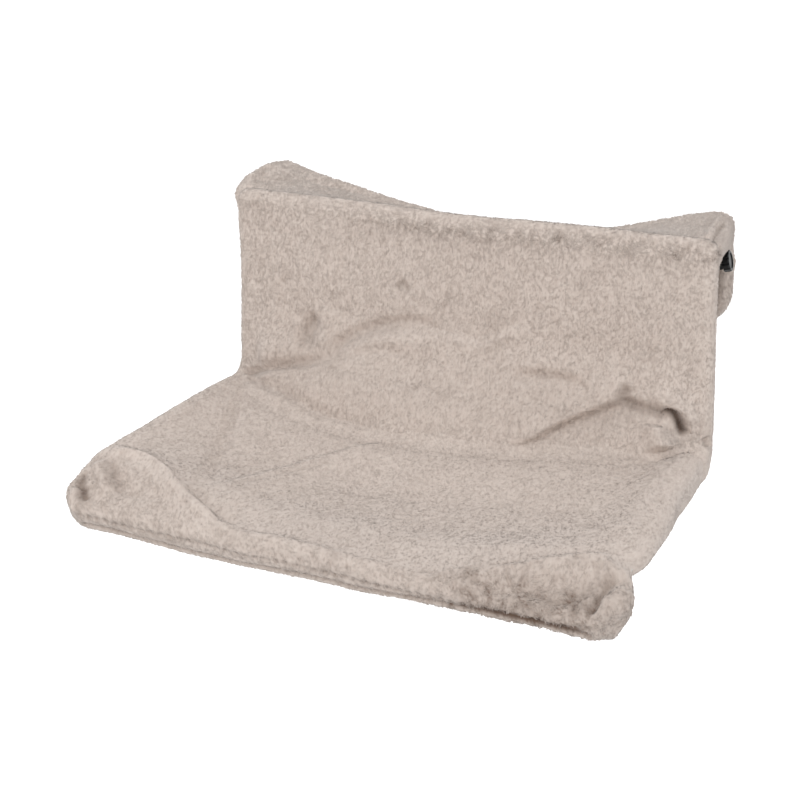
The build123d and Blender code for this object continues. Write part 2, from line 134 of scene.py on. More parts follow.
def ripple(x, y, seed):
    # Gradient noise from -1 to 1: corner slopes blended with a fifth degree ease.
    i, j = np.floor(x).astype(np.int64), np.floor(y).astype(np.int64)
    u, v = x - i, y - j
    total = []
    for di in (0, 1):
        for dj in (0, 1):
            angle = hashed(i + di, j + dj, seed) * 2 * np.pi
            total.append(np.cos(angle) * (u - di) + np.sin(angle) * (v - dj))
    a, b = (w * w * w * (w * (w * 6 - 15) + 10) for w in (u, v))
    low = total[0] * (1 - b) + total[1] * b
    high = total[2] * (1 - b) + total[3] * b
    return (low * (1 - a) + high * a) * 1.5


def cells(x, y, size, seed):
    # Rounded cells of that size: 1 less the distance to the nearest scattered centre.
    x, y = x / size, y / size
    i, j = np.floor(x).astype(np.int64), np.floor(y).astype(np.int64)
    nearest = np.full(x.shape, 9.0)
    for di in (-1, 0, 1):
        for dj in (-1, 0, 1):
            cx = i + di + hashed(i + di, j + dj, seed)
            cy = j + dj + hashed(i + di, j + dj, seed + 7)
            nearest = np.minimum(nearest, (x - cx) ** 2 + (y - cy) ** 2)
    return 1 - np.sqrt(nearest)


def unit(vectors):
    return vectors / np.maximum(np.linalg.norm(vectors, axis=-1, keepdims=True), 1e-9)


def outward(points, closed=False):
    # Unit normals of a grid, on the side its faces point to: the cross product of its differences
    # down the rows and across the columns.
    if closed:
        return outward(np.concatenate([points[:, -1:], points, points[:, :1]], axis=1))[:, 1:-1]
    return unit(np.cross(np.gradient(points, axis=0), np.gradient(points, axis=1)))


def curved(corners, steps=8):
    # A smooth line through the corners: a Catmull-Rom curve, several points to each stretch.
    if len(corners) < 3:
        return corners
    ends = np.concatenate([2 * corners[:1] - corners[1:2], corners, 2 * corners[-1:] - corners[-2:-1]])
    s = np.linspace(0, 1, steps, endpoint=False)[:, None]
    line = []
    for a, b, c, d in zip(ends, ends[1:], ends[2:], ends[3:]):
        line.append(b + 0.5 * s * (c - a + s * (2 * a - 5 * b + 4 * c - d + s * (3 * (b - c) + d - a))))
    return np.concatenate(line + [corners[-1:]])


def table(x, places, values):
    # Values at x read from a smooth curve through a few stated ones.
    line = curved(np.stack([places, values], axis=1).astype(float), 10)
    return np.interp(x, line[:, 0], line[:, 1])


def newMesh(name, points, across, along, closed=False, normals=None, napPaintedLight=None):
    # A grid of points as a smooth mesh, with a flat map, a map in cloth coordinates (1 = 100 mm) and
    # a map of the nap's painted light share, from 0 (full painted shade) to 1.
    rows, columns = points.shape[:2]
    index = np.arange(rows * columns).reshape(rows, columns)
    right = np.roll(index, -1, axis=1) if closed else index[:, 1:]
    left = index if closed else index[:, :-1]
    faces = np.stack([left[:-1], left[1:], right[1:], right[:-1]], axis=-1).reshape(-1, 4)
    mesh = bpy.data.meshes.new(name)
    mesh.from_pydata((points.reshape(-1, 3) * mm).tolist(), [], faces.tolist())
    corner = faces.reshape(-1)
    column, row = (corner % columns).reshape(-1, 4).astype(float), corner // columns
    column[column[:, 2] < column[:, 0], 2:] = columns
    last = columns if closed else columns - 1
    flat = np.stack([0.005 + 0.99 * column.reshape(-1) / last, 0.005 + 0.99 * row / (rows - 1)], axis=1)
    cloth = np.stack([across.reshape(-1)[corner], along.reshape(-1)[corner]], axis=1) / 100
    light = np.ones(len(corner)) if napPaintedLight is None else napPaintedLight.reshape(-1)[corner]
    return finished(name, mesh, flat, cloth, light, normals)


def finished(name, mesh, flat, cloth, light, normals=None):
    # Gives a mesh its three maps (the nap map holds the painted light share), smooth faces and, where given,
    # its own vertex normals.
    for label, values in (("OFBake", flat), ("cloth", cloth), ("nap", np.stack([light, light * 0], axis=1))):
        layer = mesh.uv_layers.new(name=label)
        layer.data.foreach_set("uv", values.astype(np.float32).reshape(-1))
    mesh.polygons.foreach_set("use_smooth", np.ones(len(mesh.polygons), bool))
    mesh.update()
    if normals is not None:
        mesh.normals_split_custom_set_from_vertices(normals.reshape(-1, 3).tolist())
    piece = bpy.data.objects.new(name, mesh)
    bpy.context.scene.collection.objects.link(piece)
    return piece


# Pile: the matted nap that covers the plush, and the tufts that stand out of it

def pile(across, along, look, rough=1.0):
    # Height of the nap in millimetres: clumps, small tufts and a slow swell, pulled about by noise.
    bendX = ripple(across / 9, along / 9, 3) * 2.2
    bendY = ripple(across / 9, along / 9, 5) * 2.2
    x, y = across + bendX, (along + bendY) * look["lean"]
    high = look["clump"] * (cells(x, y, look["clumpSize"], 11) - 0.55) * rough
    high += look["tuft"] * (cells(x + 40, y + 13, look["tuftSize"], 23) - 0.55)
    return high + look["swell"] * ripple(across / 26, along / 26, 31) * rough


def partings(across, along, seed):
    # Thin wandering lines between the tufts, from 0 to 1: where a noise crosses zero, in patches.
    x = across + 1.6 * ripple(across / 7, along / 7, seed + 1)
    y = along + 1.6 * ripple(across / 7, along / 7, seed + 2)
    lines = np.clip(1 - np.abs(ripple(x / 4.6, y / 3.6, seed)) * 4.2, 0, 1)
    return lines * np.clip(0.45 + 1.6 * ripple(across / 11, along / 11, seed + 3), 0, 1)


def paintedLightShare(height, paintedShade=0.0):
    # Share of painted light on the nap: painted shade the deeper it lies, and more in a fold's painted shade.
    return np.clip(1 + np.minimum(height, 0) / 3.0 - paintedShade, 0, 1)


def tuftPiece(name, points, normals, across, along, look, rough, napPaintedLight=None):
    # Small three-sided tufts, rooted at scattered grid places, each leaning along the nap's own flow:
    # tip = root + length * (lift * normal + (1 - lift) * flow).
    draw = np.random.default_rng(look["seed"])
    rows, columns = points.shape[:2]
    count = look["count"]
    r, c = draw.random(count) * (rows - 1.001), draw.random(count) * (columns - 1.001)
    i, j = r.astype(int), c.astype(int)
    u, v = (r - i)[:, None], (c - j)[:, None]

    def picked(grid):
        grid = grid if grid.ndim == 3 else grid[..., None]
        upper = grid[i, j] * (1 - v) + grid[i, j + 1] * v
        return upper * (1 - u) + (grid[i + 1, j] * (1 - v) + grid[i + 1, j + 1] * v) * u

    root, normal = picked(points), unit(picked(normals))
    place = np.concatenate([picked(across), picked(along)], axis=1)
    rowWay = unit(points[i, j + 1] - points[i, j])
    stray = look["stray"] * picked(rough)[:, 0]
    whorl = ripple(place[:, 0] / 17, place[:, 1] / 17, 51) + 0.9 * (draw.random(count) - 0.5)
    turn = np.pi * stray * whorl + look["comb"]
    flow = rowWay * np.cos(turn)[:, None] + np.cross(normal, rowWay) * np.sin(turn)[:, None]
    lift = (look["lift"] * (0.5 + draw.random(count)))[:, None]
    way = unit(normal * lift + flow * (1 - lift))
    size = (0.5 + 0.5 * picked(rough)) * (0.7 + 0.6 * draw.random(count))[:, None]
    side = unit(np.cross(way, normal)) * look["wide"] * size
    low = root - normal * look["sink"]
    middle, tip = root + normal * look["wide"] * size, root + way * look["long"] * size
    corners = np.stack([low + side, low - side, middle, tip], axis=1)
    tilt = 0.18 + 0.5 * picked(rough)
    lean = tilt * unit(side)
    shade = np.stack([normal + lean, normal - lean, normal, normal + tilt * way], axis=1)
    # Painted shade and light on each tuft: its root corners darker, more so where rough, and its tip lighter,
    # over the nap's painted light share.
    light = picked(np.ones(across.shape) if napPaintedLight is None else napPaintedLight)
    low, high = light * (0.96 - 0.13 * picked(rough)), np.minimum(1, 0.2 + light)
    light = np.clip(np.concatenate([low, low, low, high], axis=1), 0, 1).reshape(-1)
    sides = np.array([[0, 3, 2], [2, 3, 1], [1, 3, 0], [0, 2, 1]])
    faces = (np.arange(count)[:, None, None] * 4 + sides).reshape(-1, 3)
    mesh = bpy.data.meshes.new(name)
    mesh.from_pydata((corners.reshape(-1, 3) * mm).tolist(), [], faces.tolist())
    grid = math.ceil(math.sqrt(count))
    cell = np.stack([np.arange(count) % grid, np.arange(count) // grid], axis=1)[:, None, :]
    flat = ((cell + np.array([[0.15, 0.15], [0.85, 0.15], [0.15, 0.85], [0.85, 0.85]])) / grid).reshape(-1, 2)
    cloth = np.repeat(place / 100, 4, axis=0)
    corner = faces.reshape(-1)
    return finished(name, mesh, flat[corner], cloth[corner], light[corner], unit(shade))


# Folds, placed by the picture

def onCloth(points, normals, pixels, across, along):
    # The cloth places whose pictures lie nearest to the given pixels, on the side that is seen.
    px, py = pictured(points)
    hidden = ((np.array(view["at"]) - points) * normals).sum(axis=2) <= 0
    found = []
    for x, y in pixels:
        k = np.unravel_index(np.argmin((px - x) ** 2 + (py - y) ** 2 + 1e6 * hidden), px.shape)
        found.append((across[k], along[k]))
    return np.array(found)


def alongLine(line, x, y):
    # For each cloth place: distance to the line, its side, and the share of the way along.
    best = np.full(x.shape, 1e9)
    side, share = np.ones(x.shape), np.zeros(x.shape)
    lengths = np.linalg.norm(np.diff(line, axis=0), axis=1)
    starts = np.concatenate([[0], np.cumsum(lengths)])
    for k in np.flatnonzero(lengths > 1e-6):
        way = (line[k + 1] - line[k]) / lengths[k]
        dx, dy = x - line[k, 0], y - line[k, 1]
        s = np.clip(dx * way[0] + dy * way[1], 0, lengths[k])
        gap = (dx - s * way[0]) ** 2 + (dy - s * way[1]) ** 2
        near = gap < best
        best = np.where(near, gap, best)
        side = np.where(near, np.sign(way[0] * dy - way[1] * dx), side)
        share = np.where(near, (starts[k] + s) / starts[-1], share)
    return np.sqrt(best), side, share


def foldLine(places, high, wide, far=None, fade=(0.25, 0.25), pull=(0, 0, 0), dark=0):
    # One fold: the picture places of its line, its height in millimetres, its width on each side, and its
    # dark share of painted shade.
    return {"places": places, "high": high, "wide": wide, "far": far or wide,
            "fade": fade, "pull": pull, "dark": dark}


def folded(points, across, along, folds):
    # Each fold lifts the cloth along its normal by high * exp(-(gap / wide) ^ 2), faded at its
    # ends, with its own width on the far side; below 0 it is a crease. Its pull drags the cloth too,
    # and its dark share is returned as painted shade in the fold.
    normals = outward(points)
    moved, paintedShade = points.copy(), np.zeros(across.shape)
    for fold in folds:
        line = curved(onCloth(points, normals, fold["places"], across, along))
        wide, far = fold["wide"], fold["far"]
        reach = 2.6 * max(wide, far)
        lowest, highest = line.min(axis=0) - reach, line.max(axis=0) + reach
        near = (across > lowest[0]) & (across < highest[0]) & (along > lowest[1]) & (along < highest[1])
        gap, side, share = alongLine(line, across[near], along[near])
        shape = np.exp(-((gap / np.where(side > 0, wide, far)) ** 2))
        start, end = fold["fade"]
        shape *= (rise(share, -0.02, start) if start else 1) * (rise(1 - share, -0.02, end) if end else 1)
        shift = normals[near] * fold["high"] + np.array(fold["pull"])
        moved[near] += shift * shape[:, None]
        paintedShade[near] += fold["dark"] * shape
    return moved, paintedShade


# Cover on the frame: the back and the seat are one run of cloth over the tubes

cover = {
    "roll": 9.2, "topBend": 3.5, "frontBend": 14.0, "lowBend": 25.0, "softBend": 38.0,
    "sideWall": 15.0, "lip": 8.0, "sag": 27.0, "valleySag": 11.0,
    "columns": 400, "backRows": 196, "seatRows": 240,
    "bulge": ([-213, -198, -176, -126, -80, -31, 27, 74, 118, 150, 183, 203, 213],
              [0, 9, 29, 46, 53, 55, 47, 39, 27, 26, 24, 8, 0]),
    "frontWall": ([-232, -205, -160, -111, -58, 9, 25, 60, 88, 147, 170, 190, 210, 232],
                  [22, 11, 9, 12, 11, 8, 9, 6, 4, 2, 1, 3, 10, 14]),
    "flareLeft": ([-30, -8, 10, 60, 150, 181, 215, 271, 350, 466, 526],
                  [-3, -3, -3, -2.6, 3, 4, 9, 10.5, 8.5, 7, 7]),
    "flareRight": ([-30, 0, 60, 181, 205, 240, 280, 320, 385, 401, 417, 434, 450, 480, 526],
                   [-3, -3, 0, 7, 4, 3, 1, 3, 3, 1, -4, 1, 4, 5, 4]),
    "cornerWall": (8.0, 5.0),
}
seatSlope = math.atan2(dipRise, dipReach)
frontT = backDrop + seatReach / math.cos(seatSlope)


def frameLine(t, bend):
    # The tube's line from the side, t from the crossbar: down, round the low bend, out along the
    # rising seat and its dipping front. Gives y, z and the normal that faces the room.
    turn = math.pi / 2 + seatSlope
    tangent = bend * math.tan(turn / 2)
    u = t - backDrop
    angle = np.clip((u + tangent) / (2 * tangent), 0, 1) * turn
    reach = np.maximum(u, 0) * math.cos(seatSlope)
    climb = reach * dipRise / dipReach
    fall = dipRise - (reach - dipReach) * frontFall / (seatReach - dipReach)
    soft = 3.5
    lower = np.minimum(climb, fall)
    rounded = lower - soft * np.log1p(np.exp(-np.abs(climb - fall) / soft))
    climbing = 1 / (1 + np.exp(-np.clip((fall - climb) / soft, -40, 40)))
    grade = climbing * dipRise / dipReach - (1 - climbing) * frontFall / (seatReach - dipReach)
    size = np.hypot(grade, 1)
    back, seat = u < -tangent, u > tangent
    y = np.where(back, frameY, np.where(seat, frameY - reach, frameY - bend + bend * np.cos(angle)))
    z = np.where(back, topZ - t, np.where(seat, lowZ + rounded, lowZ + tangent - bend * np.sin(angle)))
    ny = np.where(back, -1.0, np.where(seat, grade / size, -np.cos(angle)))
    nz = np.where(back, 0.0, np.where(seat, 1 / size, np.sin(angle)))
    return y, z, ny, nz


def overEdge(a, t, look):
    # Where a cloth place meets the tube, how far it reaches past it, and which way. Corners turn
    # as rings: the longer of the two reaches is the radius, their ratio the angle.
    side, top, front = np.abs(a) - halfWidth, -t, t - frontT
    x, along = np.clip(a, -halfWidth, halfWidth), np.clip(t, 0, frontT)
    reach = np.maximum(side, np.maximum(top, front))
    sideways = np.where((side >= top) & (side >= front), 1.0, 0.0)
    lengthways = np.where(sideways > 0, 0.0, np.where(top > front, -1.0, 1.0))
    for end, bend, sign in ((top, look["topBend"], -1.0), (front, look["frontBend"], 1.0)):
        p, q = side + bend, end + bend
        corner = (p > 0) & (q > 0)
        ring = np.maximum(np.maximum(p, q), 1e-6)
        angle = np.where(p > q, q / ring * math.pi / 4, math.pi / 2 - p / ring * math.pi / 4)
        inner = np.minimum(ring, bend)
        edge = 0.0 if sign < 0 else frontT
        x = np.where(corner, halfWidth - bend + inner * np.cos(angle), np.abs(x))
        along = np.where(corner, edge + sign * (inner * np.sin(angle) - bend), along)
        reach = np.where(corner, ring - bend, reach)
        sideways = np.where(corner, np.cos(angle), sideways)
        lengthways = np.where(corner, sign * np.sin(angle), lengthways)
    return x * np.sign(a), along, reach, sideways * np.sign(a), lengthways


def rollSection(reach, wall, roll):
    # Over the tube: a quarter turn, a straight wall, a quarter turn under, then inwards.
    quarter = roll * math.pi / 2
    first = np.clip(reach / roll, 0, math.pi / 2)
    down = np.clip(reach - quarter, 0, wall)
    second = np.clip((reach - quarter - wall) / roll, 0, math.pi / 2)
    inwards = np.maximum(reach - 2 * quarter - wall, 0)
    off = roll * np.sin(first) - roll * (1 - np.cos(second)) - inwards
    return off, roll * np.cos(first) - down - roll * np.sin(second)


def facetRidge(width):
    # How far out along the seat the sag ends and a front facet starts: further in the middle.
    return 241 + 42 * np.clip((halfWidth - width) / 128, 0, 1) ** 2


def coverGrid(look):
    # The cover before its folds: the tube's line, plus a bulge to the room and a sag between the bars.
    across = look["roll"] * math.pi + look["sideWall"] + look["lip"]
    a = np.linspace(-halfWidth - across, halfWidth + across, look["columns"])
    under = look["roll"] * math.pi + look["lip"] + 4
    rows = np.concatenate([
        np.linspace(-3 * look["roll"], backDrop, look["backRows"], endpoint=False),
        np.linspace(backDrop, frontT + under, look["seatRows"]),
    ])
    a, t = np.meshgrid(a, rows)
    x, along, reach, sideways, lengthways = overEdge(a, t, look)
    width = np.abs(x)
    inside = 1 - np.clip(width / 206, 0, 1) ** 2.2
    bend = look["lowBend"] + (look["softBend"] - look["lowBend"]) * np.clip(inside * 2, 0, 1)
    y, z, ny, nz = frameLine(along, bend)
    ty, tz = -nz, ny
    s = np.maximum(along - backDrop, 0)
    wall = look["sideWall"] * rise(along, backDrop - 18, backDrop + 12) * (1 - rise(s, 70, 225))
    wall = wall * sideways ** 2
    wall = wall + table(x, *look["frontWall"]) * np.where(lengthways > 0, lengthways ** 2, 0)
    wall = wall + np.where(x < 0, *look["cornerWall"]) * rise(along, frontT - 32, frontT - 10) * sideways ** 2
    off, up = rollSection(np.maximum(reach, 0), wall, look["roll"])
    points = np.stack([
        x + off * sideways,
        y + off * lengthways * ty + up * ny,
        z + off * lengthways * tz + up * nz,
    ], axis=-1)
    push = table(x, *look["bulge"])
    lean = 0.1 * rise(along, 20, 90)
    lean = lean + 0.9 * np.sin(math.pi / 2 * np.clip((along - 84) / (backDrop - 84), 0, 1) ** 1.8)
    push = push * np.where(along < backDrop, lean, 1 - rise(s, 15, 235))
    ridge = facetRidge(width)
    climbOut = np.clip((s - (ridge - 92)) / 92, 0, 1) ** 1.8
    deep = look["valleySag"] * rise(along, backDrop - 45, backDrop)
    deep = deep + (look["sag"] - look["valleySag"]) * rise(s, 35, 150)
    points[..., 1] -= push * (reach < 0)
    points[..., 2] -= inside * deep * (1 - climbOut) * (reach < 0)
    flare = np.where(a < 0, table(along, *look["flareLeft"]), table(along, *look["flareRight"]))
    points[..., 0] *= 1 + flare / halfWidth
    for side, shift in ((-1, (1, 0, 4)), (1, (0, -1, 12))):
        lobe = np.exp(-(((a - side * 222) / 24) ** 2) - ((t - frontT - 4) / 26) ** 2)
        points += lobe[..., None] * np.array(shift)
    points[..., 2] -= 2.6 * bell(x, -5, 62) * (1 - rise(t, 0, 22))
    points[..., 1] = np.where(along < backDrop + 30, np.minimum(points[..., 1], -0.5), points[..., 1])
    return points, a, t


def bow(x):
    # How far the hidden cloth round the seat corner hangs below its straight line.
    return 3.5 * np.clip(1 - (x / 206) ** 2, 0, 1)


def seatHeight(points):
    # Along the rising side bars from the seat corner, and above their axis.
    back, up = frameY - points[..., 1], points[..., 2] - lowZ
    return (back * math.cos(seatSlope) + up * math.sin(seatSlope),
            up * math.cos(seatSlope) - back * math.sin(seatSlope))


def aboveLining(points):
    # Lifts what would sink through the lining near the seat corner, with a soft limit.
    along, above = seatHeight(points)
    least = -6.2 - bow(points[..., 0])
    soft = least + 3.5 * np.log1p(np.exp(np.clip((above - least) / 3.5, -30, 30)))
    near = (np.abs(points[..., 0]) < 200) & (along < 58) & (above > -40)
    lift = np.where(near & (above < least + 30), soft - above, 0) * (1 - rise(along, 50, 58))
    points[..., 1] += lift * math.sin(seatSlope)
    points[..., 2] += lift * math.cos(seatSlope)
    return points


def facets(a, t):
    # 1 on the two facets at the front of the seat, 0 behind their ridge.
    ridge = facetRidge(np.abs(a))
    return rise(t - backDrop, ridge - 8, ridge + 8)


def coverRough(a, t):
    # How tousled the nap is: most over the top roll, on the front facets and round the rim, and
    # nearly none on the outer side of the right roll.
    rough = 0.4 + 0.9 * bell(t, 2, 7) * (0.3 + 0.7 * rise(a, -130, -20)) + 0.3 * facets(a, t)
    rough += 0.75 * np.exp(-((a - 150) / 62) ** 2 - ((t - frontT - 3) / 19) ** 2)
    rough *= 1 - 0.6 * rise(t, frontT + 22, frontT + 30)
    smooth = rise(a, halfWidth - 6, halfWidth + 3) * rise(t, 5, 25) * (1 - rise(t, frontT - 60, frontT - 20))
    return rough * (1 - 0.8 * smooth)


# Folds of the cover. Each line runs through listed places of the picture.
coverFolds = [
    # A fold's dark share is painted shade in its crease.
    # under the top roll, then the back's small marks
    foldLine([(262, 197), (330, 204), (400, 214), (450, 220), (490, 225), (560, 233), (620, 240),
             (700, 250)], -2.6, 6, fade=(0.1, 0.02)),
    foldLine([(398, 286), (403, 282), (406, 287)], -1.2, 2.6, fade=(0, 0), dark=0.4),
    foldLine([(352, 232), (345, 262), (340, 292)], -1.3, 5),
    foldLine([(300, 225), (292, 260), (282, 300)], -1.2, 6),
    foldLine([(602, 262), (587, 288), (570, 315)], -1.3, 5),
    foldLine([(640, 270), (655, 320), (660, 360)], 1.4, 16),
    # the slack at the left of the back
    foldLine([(318, 312), (307, 330), (299, 352)], -7.5, 7, far=11, fade=(0.3, 0.3), dark=0.17),
    foldLine([(335, 305), (325, 330), (320, 352)], 3.5, 10),
    foldLine([(324, 356), (345, 340), (370, 329), (400, 324), (427, 326), (455, 338)], -7.5, 6,
             fade=(0.15, 0.5), dark=0.1),
    foldLine([(335, 368), (362, 350), (400, 342), (440, 345), (470, 358)], 7.5, 14, fade=(0.3, 0.5)),
    foldLine([(244, 371), (265, 368), (290, 364), (320, 359), (348, 356), (372, 351)], -6.0, 4.5, far=5,
             fade=(0.05, 0.5), dark=0.12),
    foldLine([(256, 354), (285, 350), (312, 346)], 4.5, 11),
    foldLine([(292, 384), (340, 384), (395, 396), (450, 412), (500, 418)], 6.5, 17, fade=(0.25, 0.5)),
    foldLine([(346, 352), (360, 354), (385, 351), (410, 356)], -3.0, 5),
    foldLine([(440, 334), (478, 345), (502, 336), (532, 326)], 2.6, 7),
    foldLine([(445, 329), (478, 339), (502, 330), (530, 320)], -2.2, 5),
    # the right of the back: a shallow fold, then the fold that runs into the pocket
    foldLine([(508, 377), (545, 377), (575, 381), (602, 390)], -5.0, 5.5, fade=(0.2, 0.3)),
    foldLine([(510, 366), (550, 365), (590, 370)], 2.5, 10),
    foldLine([(505, 446), (522, 436), (550, 420), (580, 407), (608, 394), (634, 383)], 6.0, 8, far=20,
             fade=(0.3, 0.15), pull=(0, -5, -4)),
    foldLine([(536, 441), (560, 429), (585, 417), (610, 408), (640, 411)], -4.0, 10, far=7,
             fade=(0.35, 0.2)),
    foldLine([(629, 383), (624, 394), (632, 405), (652, 411), (668, 415)], -7.0, 4.5, fade=(0.1, 0.1),
             dark=0.3),
    foldLine([(650, 398), (668, 402), (684, 413), (692, 428)], 6.0, 8),
    foldLine([(662, 412), (673, 415), (680, 424), (686, 436)], -10.0, 3.0, fade=(0.2, 0.1), pull=(0, 0, 4),
             dark=0.9),
    foldLine([(654, 424), (657, 438), (662, 452)], 11.0, 8, fade=(0.2, 0.2)),
    foldLine([(560, 448), (600, 447), (640, 455)], -3.0, 12),
    foldLine([(702, 438), (707, 441), (710, 446)], -5.0, 6, fade=(0.1, 0.1)),
    # the line where the seat meets the back, and the seat's long creases
    foldLine([(247, 374), (275, 389), (318, 411), (360, 424), (400, 434)], -4.5, 7, far=9, fade=(0.05, 0.5),
             dark=0.06),
    foldLine([(205, 494), (250, 481), (300, 468), (350, 453), (402, 440)], 4.0, 26, far=6),
    foldLine([(218, 495), (255, 484), (305, 471), (352, 459)], -0.8, 2.6, dark=0.1),
    foldLine([(246, 383), (238, 410), (222, 450), (206, 488)], -2.6, 8),
    foldLine([(420, 460), (400, 500), (372, 540)], 1.6, 12),
    foldLine([(500, 452), (480, 500), (440, 548)], 1.4, 14),
    # front left facet
    foldLine([(104, 452), (128, 454), (150, 462), (175, 484), (200, 510), (232, 535)], 4.5, 10, far=9,
             fade=(0.08, 0.1)),
    foldLine([(222, 533), (245, 540), (272, 541), (310, 550), (352, 563), (392, 574)], 3.2, 8, far=8,
             fade=(0.1, 0.4)),
    foldLine([(190, 486), (212, 508), (240, 526)], -3.5, 7),
    foldLine([(112, 454), (140, 459), (163, 472), (186, 497), (214, 523)], 2.5, 2.6, fade=(0.1, 0.1)),
    foldLine([(124, 462), (134, 478), (142, 500)], 2.4, 4),
    foldLine([(113, 462), (117, 480), (124, 500)], -2.6, 3.5, dark=0.1),
    foldLine([(160, 478), (172, 500), (190, 520)], 2.0, 5),
    foldLine([(205, 524), (235, 541), (275, 553), (330, 566)], -2.4, 4, dark=0.06),
    foldLine([(84, 471), (82, 487), (87, 501)], -3.5, 4.0, fade=(0.1, 0.1), dark=0.45),
    foldLine([(97, 462), (104, 480), (108, 496)], 6.0, 7),
    foldLine([(118, 470), (128, 486), (146, 500)], -3.2, 6),
    foldLine([(150, 484), (166, 500), (180, 516)], -2.6, 7),
    foldLine([(74, 487), (73, 502), (80, 512)], 3.5, 5),
    # front right facet and its corner lobe
    foldLine([(425, 582), (465, 578), (500, 574), (540, 568), (578, 563), (612, 561)], 4.2, 9, far=7,
             fade=(0.3, 0.05)),
    foldLine([(470, 588), (510, 586), (560, 581), (596, 575)], -3.5, 8),
    foldLine([(614, 574), (604, 594), (590, 618)], -4.0, 4.5, fade=(0.15, 0.15), dark=0.3),
    foldLine([(598, 576), (580, 592), (556, 606)], -3.5, 6, dark=0.2),
    foldLine([(520, 590), (545, 596), (560, 610)], -2.5, 6, dark=0.15),
    foldLine([(602, 566), (612, 572), (622, 582)], 5.0, 8, fade=(0.3, 0.3)),
    foldLine([(621, 588), (616, 604), (607, 620)], 5.0, 9, fade=(0.2, 0.2)),
    foldLine([(476, 609), (520, 619), (560, 627), (580, 631)], -0.7, 2.6, fade=(0.2, 0.1), dark=0.6),
    foldLine([(482, 573), (520, 568), (560, 561), (602, 557)], 1.6, 2.6, fade=(0.3, 0.1)),
    # crest of the right bar
    foldLine([(612, 560), (633, 525), (655, 488), (680, 462), (698, 444)], 4.2, 4.2, far=18),
]
coverNap = {"clump": 1.3, "clumpSize": 5.5, "tuft": 0.3, "tuftSize": 3.2, "swell": 0.8, "lean": 0.6}
rimSeam = {"first": 13.5, "firstDeep": 1.8, "deep": 2.5, "wide": 1.9, "stitch": 8.0}
coverPoints, coverA, coverT = coverGrid(cover)
coverPoints, paintedShade = folded(coverPoints, coverA, coverT, coverFolds)
rough = coverRough(coverA, coverT)
wander = frontT + 1.2 * ripple(coverA / 40, coverT * 0, 77)
stitches = 0.7 + 0.3 * np.cos(coverA * 2 * np.pi / rimSeam["stitch"])
seam = wander + cover["roll"] * math.pi / 2 + table(coverA, *cover["frontWall"]) - 0.5
groove = rimSeam["firstDeep"] * bell(coverT, wander + rimSeam["first"], rimSeam["wide"]) * stitches
groove += rimSeam["deep"] * bell(coverT, seam, rimSeam["wide"]) * (0.6 + 0.4 * stitches)
groove *= 1 - rise(np.abs(coverA), 198, 212)
coverNormals = outward(coverPoints)
nap = pile(coverA, coverT, coverNap, rough)
# Painted shade in the colour: in the rim's seam grooves, along the nap's partings, on the right front facet
# and its corner lobe, on both front facets and low on the back.
paintedShade += groove * (0.15 + 0.06 * rise(coverA, -20, 120))
paintedShade += partings(coverA, coverT, 81) * (0.07 + 0.55 * np.clip(rough - 0.45, 0, 0.9))
paintedShade += 0.19 * np.exp(-((coverA - 165) / 70) ** 2 - ((coverT - frontT - 4) / 24) ** 2)
paintedShade += 0.1 * facets(coverA, coverT)
paintedShade += 0.11 * bell(coverT, 148, 34) * (1 - rise(np.abs(coverA), 150, 205))
coverPaintedLight = paintedLightShare(nap, paintedShade)
coverPoints = aboveLining(coverPoints + coverNormals * (nap - groove)[..., None])
coverNormals = outward(coverPoints)
split = cover["backRows"]
backRows, seatRows = slice(None, split + 1), slice(split, None)
backPlush, seatPlush = (
    newMesh(name, coverPoints[part], coverA[part], coverT[part],
            normals=coverNormals[part], napPaintedLight=coverPaintedLight[part])
    for name, part in (("backPlush", backRows), ("seatPlush", seatRows))
)
print("back and seat cloth made")


# Top panel and its skirts, over the hook's arms and down behind the radiator

topCloth = {
    "roll": 11.0, "columns": 380, "rows": 110, "overHem": 24.0, "napShift": 600,
    "hem": ([-209, -189, -146, -94, -40, 0, 63, 100, 135, 178, 203, 209],
            [19.5, 14, 4.5, -6.5, -15.5, -20.5, -18.5, -12.5, -4.0, 9, 14, 12.5]),
    "drop": ([-6, 2, 10, 20, 37, 52, 67, 76, 110], [14, 9, 6, 6.5, 9, 14, 21, 24, 26]),
}


def topGrid(look):
    # Across: a sagging panel that turns over each arm and hangs down outside it. Along: from the
    # crossbar's rear to the hem, where it turns over and hangs down behind.
    turn = 7.0
    v = np.linspace(-7.0, legY + turn * math.pi / 2 + look["overHem"], look["rows"])
    share, v = np.meshgrid(np.linspace(-1, 1, look["columns"]), v)
    half = armX + look["roll"] * math.pi / 2 + table(v, *look["drop"])
    a = share * half
    side = np.sign(a)
    reach = np.maximum(np.abs(a) - armX, 0)
    x = np.clip(a, -armX, armX)
    over = np.clip((v - legY) / turn, 0, math.pi / 2)
    y = np.minimum(v, legY) + turn * np.sin(over)
    fall = turn * (1 - np.cos(over)) + np.maximum(v - legY - turn * math.pi / 2, 0)
    way = np.clip(v / legY, 0, 1)
    front = topZ + 7.5 - 4 * (1 - (x / armX) ** 2)
    z = front + (armZ + table(x, *look["hem"]) - front) * rise(way, -0.15, 1.0) - 1.5 * (1 - rise(v, -6, 1))
    z -= 5 * np.sin(math.pi * way) * (1 - (x / armX) ** 4)
    roll = look["roll"] - 3.5 * rise(v, 30, legY) - 3.0 * (1 - rise(v, -5, 4))
    quarter = np.clip(reach / roll, 0, math.pi / 2)
    down = np.maximum(reach - roll * math.pi / 2, 0)
    points = np.stack([
        x + side * roll * np.sin(quarter),
        y,
        z - roll * (1 - np.cos(quarter)) - down - fall,
    ], axis=-1)
    for middle, wide, shift in (((-226, 10), (16, 22), (-11, 0, 0)), ((-212, 36), (18, 26), (-4, 0, 7))):
        ear = np.exp(-(((a - middle[0]) / wide[0]) ** 2) - ((v - middle[1]) / wide[1]) ** 2) * rise(v, -9, 4)
        points += ear[..., None] * np.array(shift)
    return points[:, ::-1], a[:, ::-1], v


